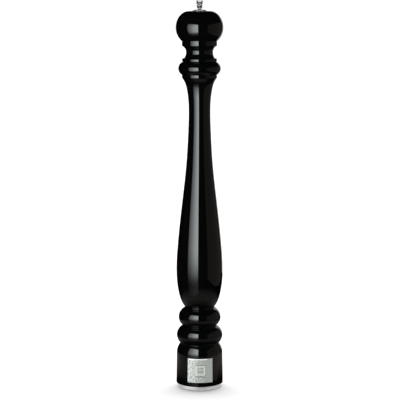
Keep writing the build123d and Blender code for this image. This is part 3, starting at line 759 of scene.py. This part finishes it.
washer_outline = [(2.65, 780.3), (2.65, 777.3), (14.5, 777.3)]
washer_outline += rounded((14.5, 777.75), 0.45, -90, 90, 8)
washer_outline += [(13, 778.62), (11, 779.13), (9, 779.54), (7, 779.9), (5.6, 780.15), (4.4, 780.3)]
washer = turned("domed_washer", washer_outline, closed=True, steps=96)
finish_as(washer, [chrome])
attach(washer, "knob_washer")
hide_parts("knob_washer")


# ---- Setting ring --------------------------------------------------------------------------

ring_outline = [(35.3, 0), (39, 0)]
ring_outline += rounded((42.6, 0.9), 0.9, -90, 0)
ring_outline += rounded((42.6, 7.0), 0.9, 0, 90)
ring_outline += [(40, 7.9), (38.6, 7.9), (38.6, 13.6), (38.2, 14), (32.1, 14), (31.7, 13.6)]
ring_outline += rounded((31.2, 10.5), 2.0, 75.5, -75.5, 12)
ring_outline += [(31.7, 4.8), (32, 4.5), (35, 4.5), (35, 0.3)]
setting_ring = turned("setting_ring", ring_outline, closed=True, steps=160)
finish_as(setting_ring, [aluminium])
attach(setting_ring, "adjust_ring")
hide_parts("adjust_ring")


# ---- Label ---------------------------------------------------------------------------------

LABEL_THICKNESS = 0.25
GLUE_LINE = 0.01             # between the label and the drum


def make_label():
    """A foil label on the drum, drawn as an outline and spun through part of a turn."""
    low, high = 17.5, 67.5
    slope = (FOOT_R - DRUM_TOP[0]) / (DRUM_TOP[1] - UNDERSIDE_Z - ARRIS)
    rows = 60

    def drum_radius(height):
        return FOOT_R - slope * (height - UNDERSIDE_Z - ARRIS) + GLUE_LINE

    heights = [low + (high - low) * row / rows for row in range(rows + 1)]
    outline = [(drum_radius(low), low)]
    outline += [(drum_radius(height) + LABEL_THICKNESS, height) for height in heights]
    outline += [(drum_radius(high), high)]
    piece = begin("foil_label", bpy.ops.mesh.primitive_plane_add, size=2 * MM)
    draw_line(outline, closed=True)
    half_angle, off_front = 32.0, 1.4
    far_edge = radians(-90 + off_front + half_angle)
    bpy.ops.transform.rotate(
        value=-far_edge, orient_axis="Z", orient_type="GLOBAL", center_override=(0, 0, 0)
    )
    bpy.ops.mesh.spin(
        steps=64, angle=radians(2 * half_angle), center=(0, 0, 0), axis=(0, 0, 1), use_auto_merge=False
    )
    bpy.ops.mesh.select_all(action="DESELECT")
    bpy.ops.mesh.select_non_manifold()
    bpy.ops.mesh.edge_face_add()
    bpy.ops.mesh.select_all(action="SELECT")
    bpy.ops.mesh.normals_make_consistent(inside=False)
    close(piece)
    flat = piece.data.uv_layers.new(name="LabelMap")
    for loop in piece.data.loops:
        place = piece.data.vertices[loop.vertex_index].co / MM
        turn = atan2(place.x, -place.y) - radians(off_front)
        flat.data[loop.index].uv = (turn * FOOT_R, place.z - (low + high) / 2)
    finish_as(piece, [foil])
    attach(piece, "body")
    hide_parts("label")


make_label()


# ---- Grinder spring ------------------------------------------------------------------------


def make_spring():
    """The coil under the bridge, a copy of the spring's own mesh that rides with the male grinder."""
    bpy.ops.object.select_all(action="DESELECT")
    piece = nodes["grinder_spring"].copy()
    piece.data = nodes["grinder_spring"].data.copy()
    bpy.context.scene.collection.objects.link(piece)
    piece.name = piece.data.name = "grinder_coil"
    piece.select_set(True)
    bpy.context.view_layer.objects.active = piece
    bpy.ops.object.mode_set(mode="EDIT")
    bpy.ops.mesh.select_all(action="SELECT")
    bpy.ops.mesh.remove_doubles(threshold=0.002 * MM)
    bpy.ops.mesh.normals_make_consistent(inside=False)
    close(piece)
    finish_as(piece, [spring_wire])
    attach(piece, "male_grinder")
    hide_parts("grinder_spring")
    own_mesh(piece)


make_spring()


# ---- Inner pieces that keep their own shape ------------------------------------------------

inner_finishes = {
    "drive_plate": bright_steel,
    "drive_plate_screws": zinc,
    "drive_shaft": bright_steel,
    "grinder_housing": black_plastic,
    "housing_screws": zinc,
    "female_grinder": grinder_steel,
    "male_grinder": grinder_steel,
    "shaft_bridge": bright_steel,
    "bridge_bush": brass,
    "bridge_screws": zinc,
    "thrust_washer": bright_steel,
    "shaft_clip": spring_wire,
    "lift_bridge": bright_steel,
    "thrust_button": grinder_steel,
    "cam_ring": white_plastic,
    "retaining_ring": spring_wire,
    "glide_washer": black_plastic,
    "detent_ball": chrome,
    "detent_spring": spring_wire,
}
for name, material in inner_finishes.items():
    for slot in nodes[name].material_slots:
        slot.material = material

shown = [thing for thing in bpy.context.scene.objects if thing.type == "MESH"]
lacquered = [mill_body, mill_head]
knob_pieces = [knob, washer]
metal = [piece for piece in shown if piece not in lacquered and piece.name != "floor"]
light_only([set_floor_light()], [bpy.data.objects["floor"]])
light_only(lacquer_lights, lacquered)
light_only([floor_glow], [mill_body])
light_only(knob_lights, knob_pieces)
light_only(rim_lights, metal)
light_only(metal_lights, [piece for piece in metal if piece not in knob_pieces])
